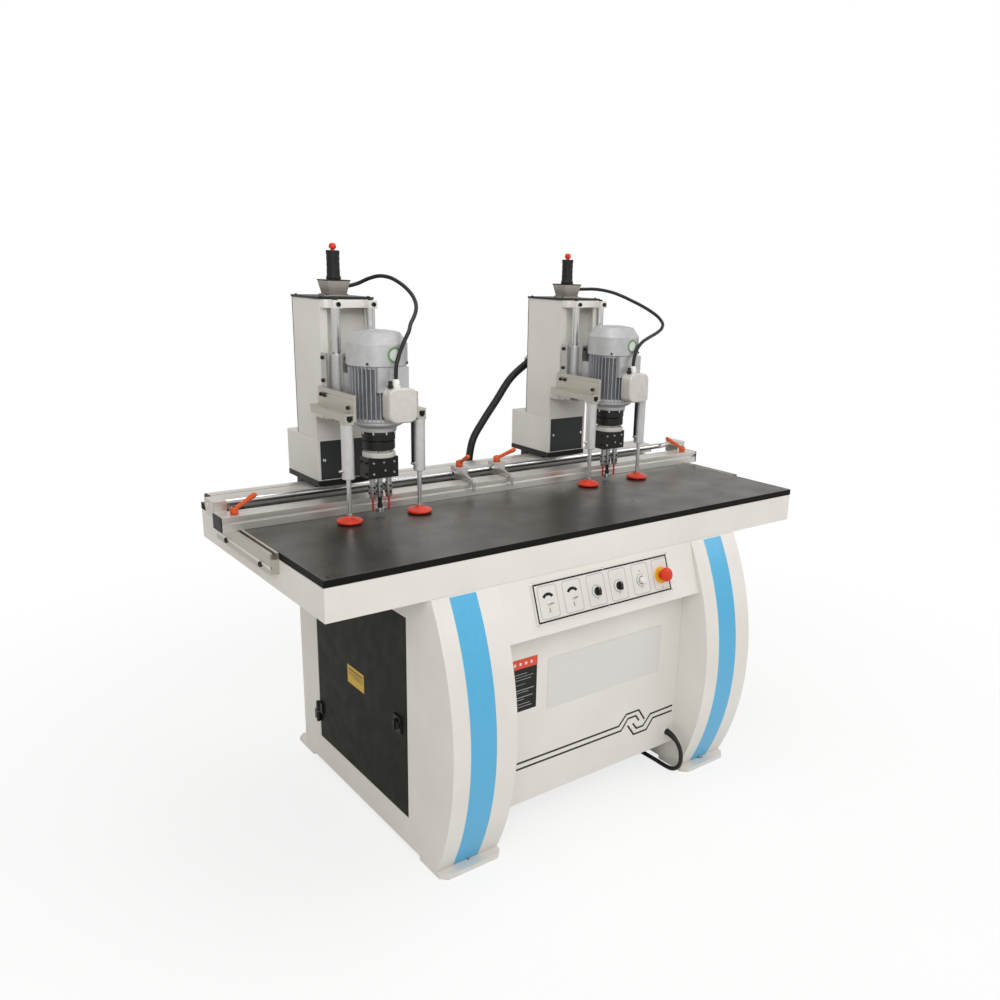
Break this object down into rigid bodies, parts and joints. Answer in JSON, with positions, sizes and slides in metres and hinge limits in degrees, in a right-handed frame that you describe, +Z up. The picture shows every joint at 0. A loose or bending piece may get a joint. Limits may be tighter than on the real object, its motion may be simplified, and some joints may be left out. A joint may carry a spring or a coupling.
{
  "type": "hinge boring machine",
  "caption": "Floor-standing hinge boring machine with twin sliding pneumatic heads on a rail, a long table with fence and flip stops, and a bowed steel base with a service door.",
  "frame": {"origin": "on the floor under the centre of the machine without its mains cable and hose", "axes": "+X along the table to the operator's right, +Y from the operator to the back, +Z up"},
  "size_m": [1.714, 1.1948, 1.5509],
  "materials": {
    "paint": "satin white powder coat",
    "door_black": "black textured powder coat",
    "black_metal": "black oxide and paint",
    "aluminium": "clear anodised extrusion",
    "casting": "silver-grey enamel on cast aluminium",
    "chrome": "hard-chromed, polished",
    "steel": "ground steel",
    "board": "dark laminate board",
    "black_plastic": "moulded black plastic",
    "orange_plastic": "moulded orange plastic",
    "red_plastic": "moulded red plastic",
    "cord_rubber": "matt black cable sheath",
    "white_plastic": "moulded white plastic"
  },
  "bodies": {
    "base": {"base_cabinet": "paint", "left_leg": "paint", "right_leg": "paint", "table_frame": "paint", "table_top": "board", "head_rail": "aluminium", "control_panel": "paint", "air_hose": "cord_rubber", "mains_cable": "cord_rubber", "mains_coil": "cord_rubber", "mains_plug": "black_plastic"},
    "door": {"service_door": "door_black"},
    "latch": {"door_latch": "black_metal"},
    "selector_left": {"left_selector": "black_plastic"},
    "selector_right": {"right_selector": "black_plastic"},
    "start": {"start_button": "white_plastic"},
    "stop_head": {"emergency_stop": "red_plastic"},
    "fence_slide": {"fence": "aluminium"},
    "left_fence_clamp": {"left_fence_lever": "orange_plastic"},
    "left_stop": {"left_stop_block": "aluminium"},
    "left_stop_flap": {"left_stop_arm": "aluminium"},
    "left_stop_clamp": {"left_stop_lever": "orange_plastic"},
    "left_head": {"left_saddle": "paint", "left_column": "paint", "left_top_plate": "black_metal", "left_grip": "black_plastic", "left_guides": "chrome"},
    "left_trigger": {"left_thumb_button": "red_plastic"},
    "left_slide": {"left_carriage": "aluminium", "left_motor": "casting", "left_gearbox": "black_metal", "left_clamp_a": "aluminium", "left_clamp_b": "aluminium", "left_motor_lead": "cord_rubber"},
    "left_centre_bit": {"left_centre_spindle": "steel"},
    "left_outer_bit": {"left_outer_spindle": "steel"},
    "left_inner_bit": {"left_inner_spindle": "steel"},
    "left_foot_a": {"left_clamp_foot_a": "red_plastic"},
    "left_foot_b": {"left_clamp_foot_b": "red_plastic"},
    "right_fence_clamp": {"right_fence_lever": "orange_plastic"},
    "right_stop": {"right_stop_block": "aluminium"},
    "right_stop_flap": {"right_stop_arm": "aluminium"},
    "right_stop_clamp": {"right_stop_lever": "orange_plastic"},
    "right_head": {"right_saddle": "paint", "right_column": "paint", "right_top_plate": "black_metal", "right_grip": "black_plastic", "right_guides": "chrome"},
    "right_trigger": {"right_thumb_button": "red_plastic"},
    "right_slide": {"right_carriage": "aluminium", "right_motor": "casting", "right_gearbox": "black_metal", "right_clamp_a": "aluminium", "right_clamp_b": "aluminium", "right_motor_lead": "cord_rubber"},
    "right_centre_bit": {"right_centre_spindle": "steel"},
    "right_outer_bit": {"right_outer_spindle": "steel"},
    "right_inner_bit": {"right_inner_spindle": "steel"},
    "right_foot_a": {"right_clamp_foot_a": "red_plastic"},
    "right_foot_b": {"right_clamp_foot_b": "red_plastic"}
  },
  "joints": [
    {"name": "door_hinge", "type": "hinge", "parent": "base", "child": "door", "pos_m": [-0.5413, 0.28225, 0.3795], "axis": [0, 0, 1], "range_deg": [-110, 0]},
    {"name": "latch_turn", "type": "hinge", "parent": "door", "child": "latch", "pos_m": [-0.5413, -0.2055, 0.354], "axis": [1, 0, 0], "range_deg": [-90, 0]},
    {"name": "left_selector_turn", "type": "hinge", "parent": "base", "child": "selector_left", "pos_m": [-0.038, -0.39749, 0.67695], "axis": [0, -0.9426, 0.3338], "range_deg": [-45, 45]},
    {"name": "right_selector_turn", "type": "hinge", "parent": "base", "child": "selector_right", "pos_m": [0.041, -0.39749, 0.67695], "axis": [0, -0.9426, 0.3338], "range_deg": [-45, 45]},
    {"name": "start_press", "type": "slide", "parent": "base", "child": "start", "axis": [0, -0.9426, 0.3338], "range_m": [-0.003, 0], "stiffness_N_per_m": 600, "springref_m": 0.004},
    {"name": "emergency_press", "type": "slide", "parent": "base", "child": "stop_head", "axis": [0, -0.9426, 0.3338], "range_m": [-0.003, 0], "stiffness_N_per_m": 1200, "springref_m": 0.004},
    {"name": "fence_depth", "type": "slide", "parent": "base", "child": "fence_slide", "axis": [0, 1, 0], "range_m": [-0.02, 0.025]},
    {"name": "left_fence_lever_turn", "type": "hinge", "parent": "fence_slide", "child": "left_fence_clamp", "pos_m": [-0.812, 0.1185, 0.8846], "axis": [0, 0, 1], "range_deg": [-70, 0]},
    {"name": "left_stop_travel", "type": "slide", "parent": "fence_slide", "child": "left_stop", "axis": [1, 0, 0], "range_m": [-0.4, 0.03]},
    {"name": "left_stop_flip", "type": "hinge", "parent": "left_stop", "child": "left_stop_flap", "pos_m": [-0.114, 0.181, 0.9075], "axis": [1, 0, 0], "range_deg": [-100, 0]},
    {"name": "left_stop_lever_turn", "type": "hinge", "parent": "left_stop", "child": "left_stop_clamp", "pos_m": [-0.09, 0.1945, 0.9143], "axis": [0, 0, 1], "range_deg": [0, 75]},
    {"name": "left_head_travel", "type": "slide", "parent": "base", "child": "left_head", "axis": [1, 0, 0], "range_m": [-0.15, 0.23]},
    {"name": "left_trigger_press", "type": "slide", "parent": "left_head", "child": "left_trigger", "axis": [0, 0, 1], "range_m": [-0.004, 0], "stiffness_N_per_m": 600, "springref_m": 0.004},
    {"name": "left_plunge", "type": "slide", "parent": "left_head", "child": "left_slide", "axis": [0, 0, 1], "range_m": [0, 0.07], "deforming": ["left_motor_lead"]},
    {"name": "left_centre_spin", "type": "hinge", "parent": "left_slide", "child": "left_centre_bit", "pos_m": [-0.445, 0.0385, 0.93], "axis": [0, 0, 1], "continuous": true},
    {"name": "left_outer_spin", "type": "hinge", "parent": "left_slide", "child": "left_outer_bit", "pos_m": [-0.469, 0.0325, 0.93], "axis": [0, 0, 1], "continuous": true},
    {"name": "left_inner_spin", "type": "hinge", "parent": "left_slide", "child": "left_inner_bit", "pos_m": [-0.421, 0.0325, 0.93], "axis": [0, 0, 1], "continuous": true},
    {"name": "left_foot_a_stroke", "type": "slide", "parent": "left_slide", "child": "left_foot_a", "axis": [0, 0, 1], "range_m": [0, 0.05]},
    {"name": "left_foot_b_stroke", "type": "slide", "parent": "left_slide", "child": "left_foot_b", "axis": [0, 0, 1], "range_m": [0, 0.05]},
    {"name": "right_fence_lever_turn", "type": "hinge", "parent": "fence_slide", "child": "right_fence_clamp", "pos_m": [0.812, 0.1185, 0.8846], "axis": [0, 0, 1], "range_deg": [0, 70]},
    {"name": "right_stop_travel", "type": "slide", "parent": "fence_slide", "child": "right_stop", "axis": [1, 0, 0], "range_m": [-0.03, 0.4]},
    {"name": "right_stop_flip", "type": "hinge", "parent": "right_stop", "child": "right_stop_flap", "pos_m": [0.025, 0.181, 0.9075], "axis": [1, 0, 0], "range_deg": [-100, 0]},
    {"name": "right_stop_lever_turn", "type": "hinge", "parent": "right_stop", "child": "right_stop_clamp", "pos_m": [0.049, 0.1945, 0.9143], "axis": [0, 0, 1], "range_deg": [-50, 30]},
    {"name": "right_head_travel", "type": "slide", "parent": "base", "child": "right_head", "axis": [1, 0, 0], "range_m": [-0.25, 0.2], "deforming": ["air_hose"]},
    {"name": "right_trigger_press", "type": "slide", "parent": "right_head", "child": "right_trigger", "axis": [0, 0, 1], "range_m": [-0.004, 0], "stiffness_N_per_m": 600, "springref_m": 0.004},
    {"name": "right_plunge", "type": "slide", "parent": "right_head", "child": "right_slide", "axis": [0, 0, 1], "range_m": [0, 0.07], "deforming": ["right_motor_lead"]},
    {"name": "right_centre_spin", "type": "hinge", "parent": "right_slide", "child": "right_centre_bit", "pos_m": [0.378, 0.0385, 0.93], "axis": [0, 0, 1], "continuous": true},
    {"name": "right_outer_spin", "type": "hinge", "parent": "right_slide", "child": "right_outer_bit", "pos_m": [0.354, 0.0325, 0.93], "axis": [0, 0, 1], "continuous": true},
    {"name": "right_inner_spin", "type": "hinge", "parent": "right_slide", "child": "right_inner_bit", "pos_m": [0.402, 0.0325, 0.93], "axis": [0, 0, 1], "continuous": true},
    {"name": "right_foot_a_stroke", "type": "slide", "parent": "right_slide", "child": "right_foot_a", "axis": [0, 0, 1], "range_m": [0, 0.05]},
    {"name": "right_foot_b_stroke", "type": "slide", "parent": "right_slide", "child": "right_foot_b", "axis": [0, 0, 1], "range_m": [0, 0.05]}
  ],
  "couplings": [
    {"joint": "left_outer_spin", "follows": "left_centre_spin", "ratio": -1},
    {"joint": "left_inner_spin", "follows": "left_centre_spin", "ratio": -1},
    {"joint": "right_outer_spin", "follows": "right_centre_spin", "ratio": -1},
    {"joint": "right_inner_spin", "follows": "right_centre_spin", "ratio": -1}
  ]
}
